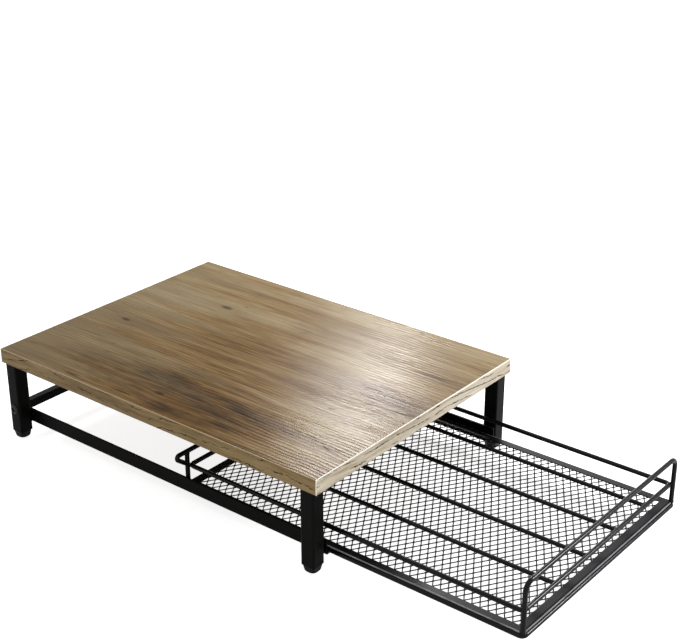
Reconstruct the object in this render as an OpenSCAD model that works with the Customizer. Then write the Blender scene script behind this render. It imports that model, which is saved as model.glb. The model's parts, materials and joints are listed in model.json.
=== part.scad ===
// Pod drawer: a wooden top on four tube legs, with a wire drawer that slides in two rails.
// The drawer is drawn pulled out by `pulled`. +X is right, +Y is the rear, +Z is up.
// The origin is on the ground, under the middle of the whole length.

/* [Wooden top] */
// Width of the top, across the drawer
board_w = 300; // [270:1:340]
// Depth of the top, along the drawer's travel
board_d = 412; // [340:1:480]
// Thickness of the top
board_t = 15; // [11:0.5:25]
// Thickness of the bands glued to its edges
band_t = 1; // [0.4:0.1:2]

/* [Legs] */
// Side of the square leg tube
leg_side = 15; // [12:0.5:20]
// Wall of the leg tube
leg_wall = 1.2; // [0.8:0.1:2]
// Outer corner radius of the leg tube
leg_corner_r = 2; // [1.5:0.1:3]
// Length of the leg tube
leg_l = 76; // [72:1:110]
// Distance from the side edge of the top to a leg
leg_inset_x = 1; // [0:0.1:6]
// Distance from the front or rear edge of the top to a leg
leg_inset_y = 4.4; // [0:0.1:12]

/* [Feet] */
// Height of a foot below its tube
foot_h = 7; // [4:0.5:12]
// Width of a foot where it meets the tube
foot_top_w = 13.9; // [11:0.1:16]
// Width of a foot at its base
foot_tip_w = 11.2; // [8:0.1:13]
// Radius of the round edge of its base
foot_edge_r = 2.4; // [1:0.1:3]
// Length of a foot's plug inside the tube
foot_plug_l = 14; // [6:0.5:18]

/* [Tabs and screws under the top] */
// Length of the tab that holds a leg to the top
tab_l = 24; // [18:0.5:34]
// Thickness of a tab
tab_t = 2; // [1.5:0.1:3]
// Diameter of a wood screw
screw_d = 3.5; // [2.5:0.1:4.5]
// Depth that a wood screw goes into the top
screw_bite = 9; // [5:0.5:9.5]
// Diameter of a wood screw's head
screw_head_d = 7; // [6:0.1:9]
// Height of a wood screw's head
screw_head_h = 2.2; // [1.5:0.1:3]

/* [Slide rails] */
// Height of the rails' underside above the ground
rail_z = 13; // [9:0.5:16]
// Height of a rail
rail_h = 14.2; // [10.5:0.1:18]
// Thickness of a rail's sheet
rail_t = 1.1; // [0.8:0.1:1.6]
// Outer radius of the folds in its sheet
rail_fold_r = 1.5; // [1.2:0.1:2]
// Width of a rail's lower flange, which carries the drawer
rail_floor_w = 7.5; // [5:0.1:10]
// Thickness of the pad between a rail and a leg
pad_t = 2.2; // [1:0.1:4]

/* [Rear crossbar] */
// Side of the square crossbar tube
bar_side = 9; // [8:0.5:12]
// Wall of the crossbar tube
bar_wall = 1.2; // [0.8:0.1:1.6]
// Outer corner radius of the crossbar tube
bar_corner_r = 1.4; // [1:0.1:2]
// Clearance between the rails and the crossbar above them
bar_gap = 0.8; // [0.4:0.1:5]
// Diameter of the bolts into its ends
bolt_d = 4; // [3:0.1:4.5]
// Depth that a bolt goes into the crossbar
bolt_bite = 12; // [8:0.5:18]
// Diameter of a bolt head
bolt_head_d = 10.4; // [6:0.1:12]
// Height of a bolt head
bolt_head_h = 1.8; // [1:0.1:3]
// Length of the threaded insert in each end of the crossbar
insert_l = 15; // [10:0.5:22]

/* [Drawer wires] */
// Diameter of the wire loop at the drawer's foot
base_wire_d = 4.5; // [3.5:0.1:5]
// Corner radius of that loop, at the wire's centre
base_corner_r = 4; // [3:0.1:8]
// Diameter of the wire loop round the pods' waists
mid_wire_d = 4.4; // [3:0.1:5]
// Corner radius of that loop, at the wire's centre
mid_corner_r = 5; // [4:0.1:12]
// Height of that loop's centre above the base loop's centre
mid_rise = 21.7; // [16:0.1:30]
// Diameter of the front hoop and the rear posts
hoop_wire_d = 4.5; // [3.5:0.1:5]
// Height of the front hoop's top above the base loop, centre to centre
front_rise = 49; // [38:0.1:54]
// Bend radius of the front hoop, at the wire's centre
hoop_bend_r = 8; // [6:0.5:18]
// Diameter of the rear stop wire
stop_wire_d = 4.5; // [3:0.1:5]
// Height of the stop wire's top above the base loop, centre to centre
rear_rise = 36.4; // [32:0.1:44]
// Reach of the stop wire's ears over the legs' inner faces
ear_reach = 7.4; // [5:0.1:12]
// Bend radius at the tip of an ear, at the wire's centre
ear_bend_r = 2.6; // [2.6:0.1:4]
// Run of the slope of an ear's lower arm
ear_run = 4; // [3:0.1:6]
// Drop of the slope of an ear's lower arm
ear_drop = 3; // [2:0.1:4]

/* [Drawer floor] */
// Thickness of the flat strips that rim the floor
strip_t = 1.2; // [0.8:0.1:1.5]
// Width of the front and rear strips
strip_end_w = 9.5; // [6:0.1:14]
// Width of the side strips
strip_side_w = 8; // [6:0.1:12]
// Thickness and width of a mesh strand
strand = 1; // [0.7:0.1:1.2]
// Length of a mesh diamond, across the drawer
diamond_w = 12.4; // [10:0.1:20]
// Length of a mesh diamond, along the drawer
diamond_l = 7.9; // [6:0.1:14]

/* [Lanes] */
// Distance between neighbouring lane wires
lane_pitch = 50.9; // [44:0.1:51.5]
// Diameter of a lane wire
lane_wire_d = 4; // [3:0.1:5]

/* [Travel] */
// Distance that the drawer stands pulled out
pulled = 213; // [0:0.5:300]
// Clearance between the drawer's foot and a rail's web
side_gap = 0.9; // [0.4:0.1:1.5]
// Clearance under the drawer's foot
run_gap = 0.3; // [0.1:0.05:0.6]
// Clearance between a rail's upper flange and the drawer's posts
lip_gap = 0.5; // [0.3:0.1:1]
// Clearance between a stop ear and a leg at each end of the travel
stop_gap = 0.6; // [0.3:0.1:1.5]
// Distance that the front wire lies behind the front legs' rear faces when shut
front_set = -0.2; // [-6:0.1:6]

/* [Hidden] */
// Clearances of pieces that are fixed to each other
fit_gap = 0.1;
weld_gap = 0.1;
// Five lanes lie between the four lane wires and the drawer's sides
lanes = 5;
hole_gap = 0.05;
screw_tip_room = 1;
// Chamfer at the corners of the mesh panel, which clears the base loop's bends
mesh_chamfer = 3.4;
// Share of a foot's diagonal that its round corners leave
foot_round = 0.88;
// Smallest corner radius inside a tube or a fold
least_r = 0.2;
// Overrun of a cut past the faces that it goes through
spare = 1;
$fn = 64;

BLACK = "#26282a";
SHADOW_BLACK = "#1b1c1e";
WOOD = "#b79c79";
WOOD_EDGE = "#d6c8ae";
ZINC = "#6d7073";

// Heights, from the ground up
board_z = foot_h + leg_l;
rail_floor_z = rail_z + rail_t;
base_z = rail_floor_z + run_gap + base_wire_d / 2;
strip_z = base_z + base_wire_d / 2;
mid_z = base_z + mid_rise;
hoop_top_z = base_z + front_rise;
stop_top_z = base_z + rear_rise;
bar_z = rail_z + rail_h + bar_gap + bar_side / 2;

// Places across the stand, measured from its middle
leg_out_x = board_w / 2 - leg_inset_x;
leg_in_x = leg_out_x - leg_side;
leg_x = leg_out_x - leg_side / 2;
leg_flat = leg_side - 2 * leg_corner_r;
rail_out_x = leg_in_x - pad_t;
base_x = rail_out_x - rail_t - side_gap - base_wire_d / 2;

// Places along the stand, measured from its middle
leg_out_y = board_d / 2 - leg_inset_y;
leg_in_y = leg_out_y - leg_side;
leg_y = leg_out_y - leg_side / 2;

// A length to the nearest hundredth, so that pieces worked out from it meet exactly
function hundredth(v) = round(v * 100) / 100;

// How far a round corner's middle lies inside its sharp corner, along X and along Y
function corner_cut(r) = hundredth(r * (1 - sqrt(1 / 2)));

// The drawer, from its wires' centres: its stop ears meet a leg at each end of the travel
post_in = corner_cut(base_corner_r);
ear_stop_y = leg_in_y - stop_gap - stop_wire_d / 2;
drawer_l = ear_stop_y + post_in + leg_in_y - front_set;
rear_y = ear_stop_y + post_in - pulled;
front_y = rear_y - drawer_l;
drawer_y = (front_y + rear_y) / 2;
post_x = base_x - post_in;
post_y = drawer_l / 2 - post_in;
post_to_mid = hundredth((hoop_wire_d / 2 + mid_wire_d / 2 + weld_gap) * sqrt(1 / 2));
mid_in = post_in + post_to_mid - corner_cut(mid_corner_r);
mid_x = base_x - mid_in;
mid_y = drawer_l / 2 - mid_in;
rail_lip_w = rail_out_x - post_x - hoop_wire_d / 2 - lip_gap;
ear_x = leg_in_x + ear_reach - stop_wire_d / 2;

// The stand stands behind the origin by as much as the drawer reaches out in front
outer_front_y = min(front_y - base_wire_d / 2, -board_d / 2);
stand_y = -(outer_front_y + board_d / 2) / 2;

// Moves the stand's own frame to the part's frame
module in_part() {
    translate([0, stand_y, 0]) children();
}

// Moves the drawer's own frame, with its origin in the middle of the drawer, to the part's frame
module in_drawer() {
    in_part() translate([0, drawer_y, 0]) children();
}

module both_sides() {
    for (side = [-1, 1]) scale([side, 1, 1]) children();
}

// A round wire along Y, centred on the origin
module wire_y(d, l) {
    rotate([90, 0, 0]) cylinder(d = d, h = l, center = true);
}

// A round wire along X, centred on the origin
module wire_x(d, l) {
    rotate([0, 90, 0]) cylinder(d = d, h = l, center = true);
}

// A rectangle with round corners, centred on the origin
module round_rect(w, d, r) {
    square([w - 2 * r, d], center = true);
    square([w, d - 2 * r], center = true);
    for (sx = [-1, 1], sy = [-1, 1])
        translate([sx * (w / 2 - r), sy * (d / 2 - r)]) circle(r);
}

// A square tube's section
module tube_section(side, wall, corner_r) {
    difference() {
        round_rect(side, side, corner_r);
        round_rect(side - 2 * wall, side - 2 * wall, max(corner_r - wall, least_r));
    }
}

// A closed loop of round wire in the XY plane: x and y are half its size at the wire's centre
module wire_loop(x, y, r, d) {
    for (side = [-1, 1]) {
        translate([side * x, 0, 0]) wire_y(d, 2 * (y - r));
        translate([0, side * y, 0]) wire_x(d, 2 * (x - r));
    }
    for (quarter = [0:3]) {
        sx = (quarter == 0 || quarter == 3) ? 1 : -1;
        sy = quarter < 2 ? 1 : -1;
        translate([sx * (x - r), sy * (y - r), 0])
            rotate([0, 0, 90 * quarter])
                rotate_extrude(angle = 90) translate([r, 0]) circle(d = d);
    }
}

// ---- The wooden top ----

module board() {
    color(WOOD) in_part() difference() {
        translate([band_t - board_w / 2, band_t - board_d / 2, board_z])
            cube([board_w - 2 * band_t, board_d - 2 * band_t, board_t]);
        at_every_tab() translate([0, 0, board_z - spare])
            cylinder(d = screw_d + 2 * hole_gap, h = spare + screw_bite + screw_tip_room);
    }
}

module edge_band_long(side) {
    color(WOOD_EDGE) in_part()
        translate([-board_w / 2, side * (board_d - band_t) / 2 - band_t / 2, board_z])
            cube([board_w, band_t, board_t]);
}

module edge_band_side(side) {
    color(WOOD) in_part()
        translate([side * (board_w - band_t) / 2 - band_t / 2, band_t - board_d / 2, board_z])
            cube([band_t, board_d - 2 * band_t, board_t]);
}

// ---- Legs and feet ----

module leg(side, end) {
    is_rear = end > 0;
    color(BLACK) in_part() translate([side * leg_x, end * leg_y, foot_h]) difference() {
        linear_extrude(leg_l) tube_section(leg_side, leg_wall, leg_corner_r);
        if (is_rear) translate([0, 0, bar_z - foot_h])
            wire_x(bolt_d + 2 * hole_gap, leg_side + 2 * spare);
    }
}

// A foot glide: a tapered block with round corners and a plug that fills the tube's end
module foot(side, end) {
    plug_w = leg_side - 2 * leg_wall - 2 * fit_gap;
    color(SHADOW_BLACK) in_part() translate([side * leg_x, end * leg_y, 0]) {
        intersection() {
            foot_wedge();
            rotate([0, 0, 90]) foot_wedge();
            rotate_extrude() foot_profile();
        }
        translate([0, 0, foot_h]) linear_extrude(foot_plug_l)
            round_rect(plug_w, plug_w, max(leg_corner_r - leg_wall, least_r));
    }
}

// Half of a foot's profile through its corners; its round edge is tangent to the base and to the side
module foot_profile() {
    e = foot_edge_r;
    tip_r = foot_tip_w * foot_round / sqrt(2);
    top_r = foot_top_w * foot_round / sqrt(2);
    lean = atan2(top_r - tip_r, foot_h);
    edge_x = tip_r - e * (1 - sin(lean)) / cos(lean);
    polygon([
        [0, 0], [edge_x, 0], [edge_x + e * cos(lean), e * (1 - sin(lean))], [top_r, foot_h], [0, foot_h]
    ]);
    translate([edge_x, e]) circle(e);
}

module foot_wedge() {
    rotate([90, 0, 0]) linear_extrude(foot_top_w, center = true) polygon([
        [-foot_tip_w / 2, 0], [foot_tip_w / 2, 0], [foot_top_w / 2, foot_h], [-foot_top_w / 2, foot_h]
    ]);
}

// ---- Tabs and screws under the top ----

// Moves a tab or its screw to its place under the top
module at_tab(side, end) {
    translate([side * (leg_in_x - tab_l / 2), end * leg_y, 0]) children();
}

module at_every_tab() {
    for (side = [-1, 1], end = [-1, 1]) at_tab(side, end) children();
}

module leg_tab(side, end) {
    color(BLACK) in_part() at_tab(side, end) translate([0, 0, board_z - tab_t]) difference() {
        translate([-tab_l / 2, -leg_flat / 2, 0]) cube([tab_l, leg_flat, tab_t]);
        translate([0, 0, -spare]) cylinder(d = screw_d + 2 * fit_gap, h = tab_t + 2 * spare);
    }
}

module tab_screws() {
    color(ZINC) in_part() at_every_tab() translate([0, 0, board_z - tab_t]) {
        cylinder(d = screw_d, h = tab_t + screw_bite);
        translate([0, 0, -screw_head_h]) cylinder(d = screw_head_d, h = screw_head_h);
    }
}

// ---- Slide rails ----

// A rail's section: the web stands outside, the lower flange is the wide one
module rail_section() {
    fold_w = 2 * rail_floor_w;
    hollow_w = fold_w - 2 * rail_t;
    hollow_h = rail_h - 2 * rail_t;
    difference() {
        translate([rail_out_x - fold_w / 2, rail_z + rail_h / 2]) difference() {
            round_rect(fold_w, rail_h, rail_fold_r);
            round_rect(hollow_w, hollow_h, max(rail_fold_r - rail_t, least_r));
        }
        translate([rail_out_x - fold_w - spare, rail_z - spare])
            square([fold_w + spare - rail_floor_w, rail_h + 2 * spare]);
        translate([rail_out_x - fold_w - spare, rail_floor_z + hollow_h / 2])
            square([fold_w + spare - rail_lip_w, rail_h]);
    }
}

module rail(side) {
    color(BLACK) in_part() scale([side, 1, 1])
        rotate([90, 0, 0]) linear_extrude(2 * leg_out_y, center = true) rail_section();
}

module rail_pads(side) {
    middle_x = side * (leg_in_x - pad_t / 2);
    color(BLACK) in_part() for (end = [-1, 1])
        translate([middle_x - pad_t / 2, end * leg_y - leg_flat / 2, rail_z + rail_fold_r])
            cube([pad_t, leg_flat, rail_h - 2 * rail_fold_r]);
}

// ---- Rear crossbar ----

module rear_crossbar() {
    color(BLACK) in_part() translate([0, leg_y, bar_z]) rotate([0, 90, 0])
        linear_extrude(2 * leg_in_x, center = true) tube_section(bar_side, bar_wall, bar_corner_r);
}

module crossbar_insert(side) {
    plug_w = bar_side - 2 * bar_wall - fit_gap;
    color(ZINC) in_part() translate([side * (leg_in_x - insert_l / 2), leg_y, bar_z]) difference() {
        rotate([0, 90, 0]) linear_extrude(insert_l, center = true)
            round_rect(plug_w, plug_w, max(bar_corner_r - bar_wall, least_r));
        wire_x(bolt_d + 2 * hole_gap, insert_l + 2 * spare);
    }
}

module crossbar_bolt(side) {
    shank_l = leg_side + bolt_bite;
    color(BLACK) in_part() translate([side * leg_out_x, leg_y, bar_z]) {
        translate([-side * shank_l / 2, 0, 0]) wire_x(bolt_d, shank_l);
        translate([side * bolt_head_h / 2, 0, 0]) wire_x(bolt_head_d, bolt_head_h);
    }
}

// ---- The drawer's foot and floor ----

module base_loop() {
    color(BLACK) in_drawer() translate([0, 0, base_z])
        wire_loop(base_x, drawer_l / 2, base_corner_r, base_wire_d);
}

// Room in the strips for the posts, which stand on the base loop
module post_room() {
    for (side = [-1, 1], end = [-1, 1])
        translate([side * post_x, end * post_y, strip_z - spare])
            cylinder(d = hoop_wire_d + 2 * weld_gap, h = strip_t + 2 * spare);
}

module rim_strip_end(end) {
    color(BLACK) in_drawer() difference() {
        translate([-base_x, end * (drawer_l - strip_end_w) / 2 - strip_end_w / 2, strip_z])
            cube([2 * base_x, strip_end_w, strip_t]);
        post_room();
    }
}

module rim_strip_side(side) {
    l = drawer_l - 2 * strip_end_w;
    color(BLACK) in_drawer()
        translate([side * (base_x - strip_side_w / 2) - strip_side_w / 2, -l / 2, strip_z])
            cube([strip_side_w, l, strip_t]);
}

// The mesh panel's outline, inside the base loop
module mesh_outline() {
    x = base_x - base_wire_d / 2 - fit_gap;
    y = drawer_l / 2 - base_wire_d / 2 - fit_gap;
    c = mesh_chamfer;
    polygon([
        [x, c - y], [x, y - c], [x - c, y], [c - x, y],
        [-x, y - c], [-x, c - y], [c - x, -y], [x - c, -y]
    ]);
}

// One layer of parallel strands; slant is +1 or -1
module strands(slant) {
    angle = atan2(diamond_l, diamond_w);
    pitch = diamond_w * sin(angle);
    reach = norm([base_x, drawer_l / 2]) + spare;
    across = base_x * sin(angle) + drawer_l / 2 * cos(angle);
    count = floor(across / pitch);
    linear_extrude(strand) intersection() {
        mesh_outline();
        for (i = [-count:count])
            rotate([0, 0, slant * angle]) translate([0, i * pitch])
                square([2 * reach, strand], center = true);
    }
}

module mesh_lower_strands() {
    color(SHADOW_BLACK) in_drawer() translate([0, 0, strip_z - 2 * strand - 2 * hole_gap]) strands(1);
}

module mesh_upper_strands() {
    color(SHADOW_BLACK) in_drawer() translate([0, 0, strip_z - strand - hole_gap]) strands(-1);
}

// ---- The drawer's wires ----

module mid_loop() {
    color(BLACK) in_drawer() translate([0, 0, mid_z]) wire_loop(mid_x, mid_y, mid_corner_r, mid_wire_d);
}

module front_hoop() {
    r = hoop_bend_r;
    color(BLACK) in_drawer() translate([0, -post_y, 0]) {
        translate([0, 0, hoop_top_z]) wire_x(hoop_wire_d, 2 * (post_x - r));
        both_sides() {
            translate([post_x, 0, strip_z]) cylinder(d = hoop_wire_d, h = hoop_top_z - r - strip_z);
            translate([post_x - r, 0, hoop_top_z - r]) rotate([90, 0, 0])
                rotate_extrude(angle = 90) translate([r, 0]) circle(d = hoop_wire_d);
        }
    }
}

module rear_post(side) {
    color(BLACK) in_drawer() translate([0, post_y, 0]) difference() {
        translate([side * post_x, 0, strip_z]) cylinder(d = hoop_wire_d, h = stop_top_z - strip_z);
        translate([0, 0, stop_top_z]) wire_x(stop_wire_d + 2 * weld_gap, 2 * (post_x + hoop_wire_d));
    }
}

// The stop wire runs across the posts' tops; each end turns back at an ear and slants down to its post
module stop_wire() {
    r = ear_bend_r;
    tip_x = ear_x - r;
    slant = atan2(ear_drop, ear_run);
    arm_l = (tip_x + r * sin(slant) - post_x) / cos(slant);
    color(BLACK) in_drawer() translate([0, post_y, 0]) difference() {
        union() {
            translate([0, 0, stop_top_z]) wire_x(stop_wire_d, 2 * tip_x);
            both_sides() translate([tip_x, 0, stop_top_z - r]) {
                rotate([90, 0, 0]) bend(r, 90);
                rotate([-90, 0, 0]) bend(r, 90 - slant);
                rotate([0, -slant, 0]) translate([-arm_l / 2, 0, -r]) wire_x(stop_wire_d, arm_l);
            }
        }
        both_sides() translate([post_x, 0, 0])
            cylinder(d = hoop_wire_d + 2 * weld_gap, h = stop_top_z - stop_wire_d);
    }
}

// A bend of the stop wire round the origin, from the X axis towards Y
module bend(r, angle) {
    rotate_extrude(angle = angle) translate([r, 0]) circle(d = stop_wire_d);
}

// Lane wires end in the mid loop's front and rear runs, which their ends are shaped to
module lane_wire(i) {
    color(BLACK) in_drawer() translate([0, 0, mid_z]) difference() {
        translate([(i - lanes / 2) * lane_pitch, 0, 0]) wire_y(lane_wire_d, 2 * mid_y);
        for (end = [-1, 1]) translate([0, end * mid_y, 0])
            wire_x(mid_wire_d + 2 * weld_gap, 2 * mid_x);
    }
}

board();
edge_band_long(-1);  // edge_band_front
edge_band_long(1);  // edge_band_rear
edge_band_side(-1);  // edge_band_left
edge_band_side(1);  // edge_band_right
leg(-1, -1);  // leg_front_left
leg(1, -1);  // leg_front_right
leg(-1, 1);  // leg_rear_left
leg(1, 1);  // leg_rear_right
foot(-1, -1);  // foot_front_left
foot(1, -1);  // foot_front_right
foot(-1, 1);  // foot_rear_left
foot(1, 1);  // foot_rear_right
leg_tab(-1, -1);  // leg_tab_front_left
leg_tab(1, -1);  // leg_tab_front_right
leg_tab(-1, 1);  // leg_tab_rear_left
leg_tab(1, 1);  // leg_tab_rear_right
tab_screws();
rail(-1);  // rail_left
rail(1);  // rail_right
rail_pads(-1);  // rail_pads_left
rail_pads(1);  // rail_pads_right
rear_crossbar();
crossbar_insert(-1);  // crossbar_insert_left
crossbar_insert(1);  // crossbar_insert_right
crossbar_bolt(-1);  // crossbar_bolt_left
crossbar_bolt(1);  // crossbar_bolt_right
base_loop();
rim_strip_end(-1);  // rim_strip_front
rim_strip_end(1);  // rim_strip_rear
rim_strip_side(-1);  // rim_strip_left
rim_strip_side(1);  // rim_strip_right
mesh_lower_strands();
mesh_upper_strands();
mid_loop();
front_hoop();
rear_post(-1);  // rear_post_left
rear_post(1);  // rear_post_right
stop_wire();
lane_wire(1);  // lane_wire_1
lane_wire(2);  // lane_wire_2
lane_wire(3);  // lane_wire_3
lane_wire(4);  // lane_wire_4
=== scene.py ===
"""Looks of the pod drawer: a wood-grain top on a black tube stand, with a wire drawer on two rails.

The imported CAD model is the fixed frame. Its nodes keep their shapes and get their finishes here. Three kinds
of piece are modelled here: the expanded mesh floor, the weld beads and the crossbar's bolts.
"""

from __future__ import annotations

import json
import logging
import math
from dataclasses import dataclass, field
from enum import Enum
from typing import Iterable, Mapping, Optional, Sequence, Union

import bmesh
import bpy
from mathutils import Matrix, Vector, noise

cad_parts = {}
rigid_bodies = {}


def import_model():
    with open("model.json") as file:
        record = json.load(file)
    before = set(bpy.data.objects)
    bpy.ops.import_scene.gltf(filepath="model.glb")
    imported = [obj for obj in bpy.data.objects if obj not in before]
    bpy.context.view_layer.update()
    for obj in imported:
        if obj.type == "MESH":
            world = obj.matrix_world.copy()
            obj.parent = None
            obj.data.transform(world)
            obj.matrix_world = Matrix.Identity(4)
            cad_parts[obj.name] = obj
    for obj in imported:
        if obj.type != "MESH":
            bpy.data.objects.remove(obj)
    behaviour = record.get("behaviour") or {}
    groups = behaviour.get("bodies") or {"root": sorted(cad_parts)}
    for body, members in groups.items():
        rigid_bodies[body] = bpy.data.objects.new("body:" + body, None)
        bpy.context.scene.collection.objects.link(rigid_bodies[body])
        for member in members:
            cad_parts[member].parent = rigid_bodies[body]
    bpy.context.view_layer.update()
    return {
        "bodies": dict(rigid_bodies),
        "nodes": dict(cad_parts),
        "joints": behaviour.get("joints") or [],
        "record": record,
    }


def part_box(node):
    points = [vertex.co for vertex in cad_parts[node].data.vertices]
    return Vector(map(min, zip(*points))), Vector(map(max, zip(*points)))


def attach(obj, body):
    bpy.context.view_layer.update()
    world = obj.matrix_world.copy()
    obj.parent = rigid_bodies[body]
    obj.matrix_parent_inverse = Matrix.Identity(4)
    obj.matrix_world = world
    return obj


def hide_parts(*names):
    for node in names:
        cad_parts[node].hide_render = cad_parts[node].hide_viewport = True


LOG = logging.getLogger("pod_drawer")
MM = 0.001

Colour = tuple[float, float, float]
Point = tuple[float, float, float]
Settings = Optional[Mapping[str, object]]
Links = Optional[Mapping[Union[str, int], object]]
Ring = list[bmesh.types.BMVert]


class Body(Enum):
    """The bodies that a piece rides on."""

    STAND = "stand"
    DRAWER = "drawer"


class Slot(Enum):
    """The record's material slots."""

    BOARD_FACE = "board_face"
    BOARD_END = "board_end"
    BOARD_SIDE = "board_side"
    FRAME = "frame"
    DRAWER_WIRE = "drawer_wire"
    MESH = "mesh"
    FOOT = "foot"
    ZINC = "zinc"
    BOLT = "bolt"


class Kind(Enum):
    """What a shader socket carries."""

    VALUE = "value"
    COLOUR = "colour"
    VECTOR = "vector"


def srgb(red: int, green: int, blue: int) -> Colour:
    """Turn a colour in screen numbers from 0 to 255 into linear light.

    Args:
        red: the red number.
        green: the green number.
        blue: the blue number.

    Returns:
        The colour as three linear shares.
    """

    def linear(number: int) -> float:
        """Turn one screen number into linear light."""
        share = number / 255
        return share / 12.92 if share <= 0.04045 else ((share + 0.055) / 1.055) ** 2.4

    return linear(red), linear(green), linear(blue)


def tinted(colour: Colour, share: float) -> Colour:
    """Lighten or darken a linear colour by a factor."""
    red, green, blue = colour
    return red * share, green * share, blue * share


# ---- Shader expressions ----


@dataclass(frozen=True)
class Signal:
    """A shader socket that takes part in Python expressions."""

    graph: Graph
    socket: bpy.types.NodeSocket
    kind: Kind = Kind.VALUE

    def __add__(self, other: Term) -> Signal:
        """Add a term."""
        return self.graph.combine("ADD", self, other)

    def __radd__(self, other: Term) -> Signal:
        """Add to a term."""
        return self.graph.combine("ADD", other, self)

    def __sub__(self, other: Term) -> Signal:
        """Take a term away."""
        return self.graph.combine("SUBTRACT", self, other)

    def __rsub__(self, other: Term) -> Signal:
        """Take this away from a term."""
        return self.graph.combine("SUBTRACT", other, self)

    def __mul__(self, other: Term) -> Signal:
        """Multiply by a term."""
        return self.graph.combine("MULTIPLY", self, other)

    def __rmul__(self, other: Term) -> Signal:
        """Multiply a term by this."""
        return self.graph.combine("MULTIPLY", other, self)

    def __truediv__(self, other: Term) -> Signal:
        """Divide by a term."""
        return self.graph.combine("DIVIDE", self, other)

    def __rtruediv__(self, other: Term) -> Signal:
        """Divide a term by this."""
        return self.graph.combine("DIVIDE", other, self)

    def __pow__(self, other: Term) -> Signal:
        """Raise to a power."""
        return self.graph.combine("POWER", self, other)

    def maths(self, operation: str, *others: Term) -> Signal:
        """Run one Math operation on this value.

        Args:
            operation: the Math node's operation.
            others: its further values.

        Returns:
            The result.
        """
        return self.graph.node("ShaderNodeMath", {"operation": operation}, dict(enumerate((self, *others))))

    def step(self, low: float, high: float) -> Signal:
        """Rise smoothly from 0 at low to 1 at high, or fall where low is the larger.

        Args:
            low: the value that gives 0.
            high: the value that gives 1.

        Returns:
            A value from 0 to 1.
        """
        ends = {"Value": self, "From Min": low, "From Max": high, "To Min": 0.0, "To Max": 1.0}
        return self.graph.node("ShaderNodeMapRange", {"interpolation_type": "SMOOTHSTEP"}, ends)

    def blend(self, low: Term, high: Term) -> Signal:
        """Go from one term to another, with this value as the share of the second.

        Args:
            low: the term at 0.
            high: the term at 1.

        Returns:
            The mixed colour or value.
        """
        colours = Kind.COLOUR in (kind_of(low), kind_of(high))
        kind, data, suffix = (Kind.COLOUR, "RGBA", "Color") if colours else (Kind.VALUE, "FLOAT", "Float")
        links = {"Factor_Float": self, f"A_{suffix}": low, f"B_{suffix}": high}
        return self.graph.node("ShaderNodeMix", {"data_type": data}, links, f"Result_{suffix}", kind)


Term = Union[Signal, float, Sequence[float]]


def kind_of(term: Term) -> Kind:
    """Tell what a term carries.

    Args:
        term: a signal, a number or a colour's numbers.

    Returns:
        Its kind, where plain triples count as colours.
    """
    if isinstance(term, Signal):
        return term.kind
    return Kind.VALUE if isinstance(term, (int, float)) else Kind.COLOUR


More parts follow.
